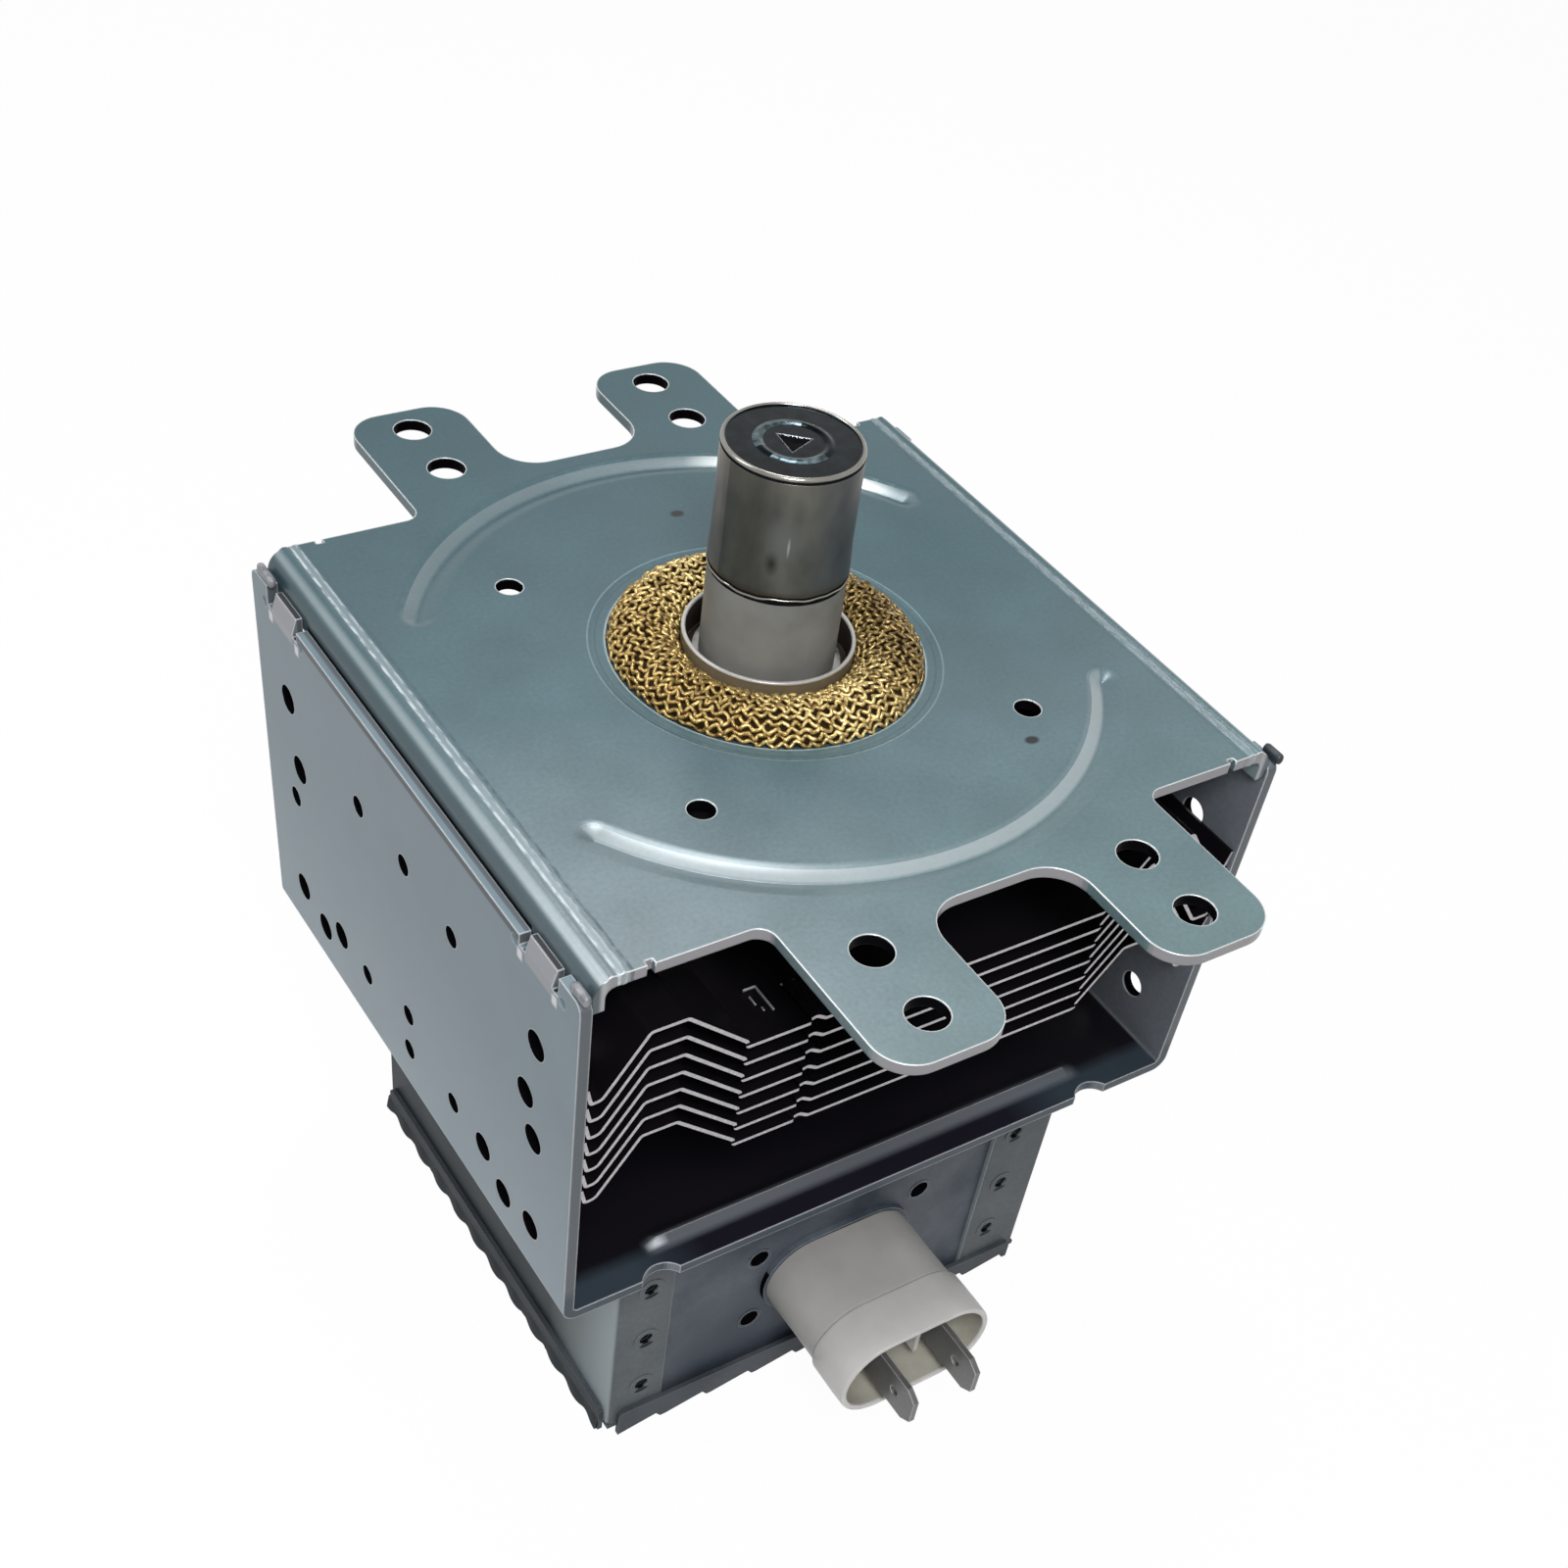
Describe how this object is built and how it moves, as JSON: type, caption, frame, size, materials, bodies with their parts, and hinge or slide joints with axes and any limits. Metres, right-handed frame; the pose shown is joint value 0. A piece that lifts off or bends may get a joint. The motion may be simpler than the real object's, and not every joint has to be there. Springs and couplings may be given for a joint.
{
  "type": "magnetron",
  "caption": "Packaged oven magnetron: ceramic antenna with metal cap and knitted gasket on an eared plate, sheet yoke with cooling fins and magnets, and a filter box with an oval socket.",
  "frame": {"origin": "on the antenna's axis, at the mounting plate's top face", "axes": "+Z along the antenna, away from the filter box; -Y the way the terminals point; +X to the right as seen from the terminals"},
  "size_m": [0.0914, 0.1237, 0.1205],
  "materials": {
    "zinc_steel": "satin zinc-coated sheet",
    "fin_aluminium": "bare rolled sheet",
    "ferrite_magnet": "matt dark grey",
    "gasket_wire": "knitted wire",
    "seal_metal": "plated",
    "cap_steel": "drawn, dull",
    "tube_ceramic": "fine matt",
    "copper": "bare copper",
    "hot_metal": "dull grey",
    "socket_plastic": "moulded off-white",
    "blade_metal": "tinned"
  },
  "bodies": {
    "root": {"mounting_plate": "zinc_steel", "yoke_frame": "zinc_steel", "filter_box": "zinc_steel", "filter_front_panel": "zinc_steel", "filter_cover": "zinc_steel", "clinch_rivets": "zinc_steel", "feedthrough_flange": "zinc_steel", "cooling_fin_1": "fin_aluminium", "cooling_fin_2": "fin_aluminium", "cooling_fin_3": "fin_aluminium", "cooling_fin_4": "fin_aluminium", "cooling_fin_5": "fin_aluminium", "cooling_fin_6": "fin_aluminium", "cooling_fin_7": "fin_aluminium", "upper_magnet": "ferrite_magnet", "lower_magnet": "ferrite_magnet", "choke_core_left": "ferrite_magnet", "choke_core_right": "ferrite_magnet", "rf_gasket": "gasket_wire", "gasket_collar": "seal_metal", "antenna_seal_cup": "seal_metal", "upper_seal_cup": "seal_metal", "lower_seal_cup": "seal_metal", "upper_pole_piece": "seal_metal", "lower_pole_piece": "seal_metal", "antenna_cap": "cap_steel", "antenna_ceramic": "tube_ceramic", "stem_ceramic": "tube_ceramic", "capacitor_ceramic": "tube_ceramic", "anode_cylinder": "copper", "anode_vanes": "copper", "strap_rings": "copper", "exhaust_tube": "copper", "antenna_lead": "copper", "choke_coil_left": "copper", "choke_coil_right": "copper", "cathode_filament": "hot_metal", "cathode_upper_hat": "hot_metal", "cathode_lower_hat": "hot_metal", "cathode_leads": "hot_metal", "stem_terminals": "hot_metal", "feedthrough_housing": "socket_plastic", "feedthrough_inner_case": "socket_plastic", "terminal_tab_left": "blade_metal", "terminal_tab_right": "blade_metal"}
  },
  "joints": []
}
